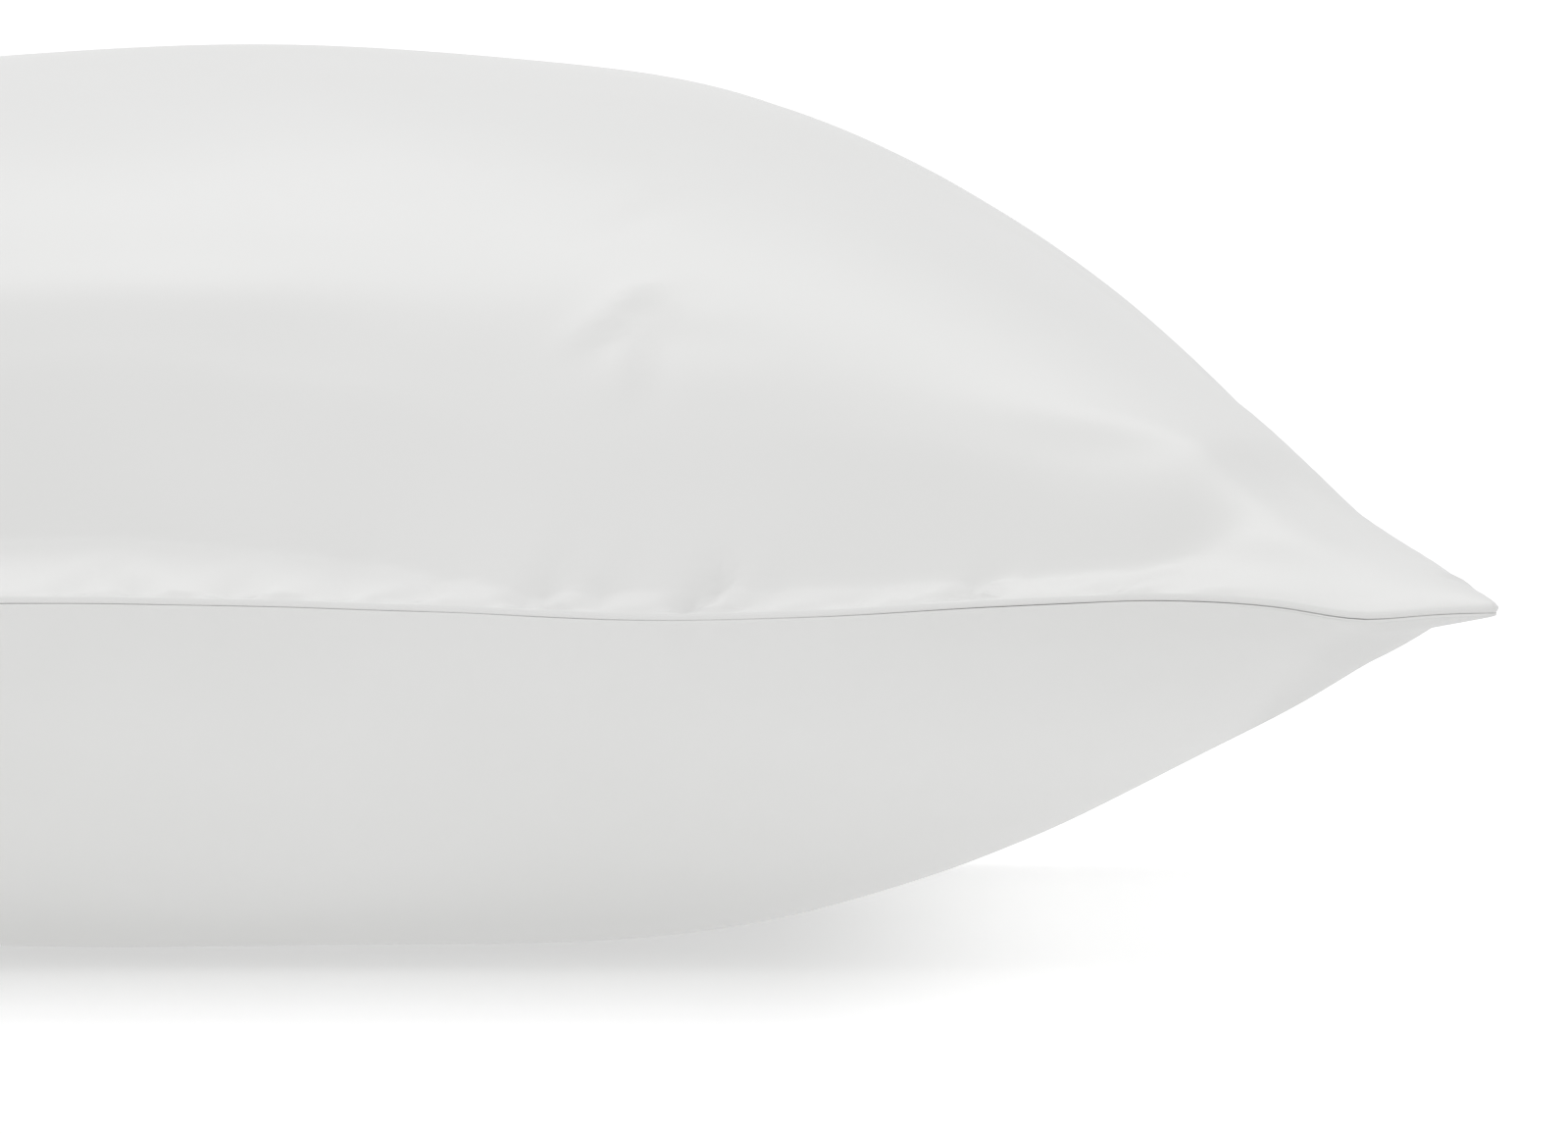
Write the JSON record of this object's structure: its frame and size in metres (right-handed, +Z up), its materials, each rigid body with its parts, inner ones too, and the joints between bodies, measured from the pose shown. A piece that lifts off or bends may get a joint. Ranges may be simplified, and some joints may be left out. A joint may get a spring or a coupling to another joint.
{
  "type": "bed pillow",
  "caption": "Rectangular bed pillow lying flat, crowned sateen shell of two panels with a turned knife-edge seam and pointed corners.",
  "frame": {"origin": "centre of the pillow's bounding box, on the surface it lies on", "axes": "+X along the short ends, +Y along the long sides, +Z up through the crown; the end at -Y faces the viewer"},
  "size_m": [0.4748, 0.6344, 0.174],
  "materials": {
    "sateen_cloth": "satin",
    "sewing_thread": "satin",
    "loose_fibre": "matte",
    "fibre_batt": "matte",
    "label_tape": "satin"
  },
  "bodies": {
    "root": {"top_panel": "sateen_cloth", "bottom_panel": "sateen_cloth", "perimeter_seam_thread": "sewing_thread", "closing_seam_thread": "sewing_thread", "overlock_thread": "sewing_thread", "fill_core": "loose_fibre", "fill_batt_top": "fibre_batt", "fill_batt_bottom": "fibre_batt", "care_label": "label_tape"}
  },
  "joints": []
}
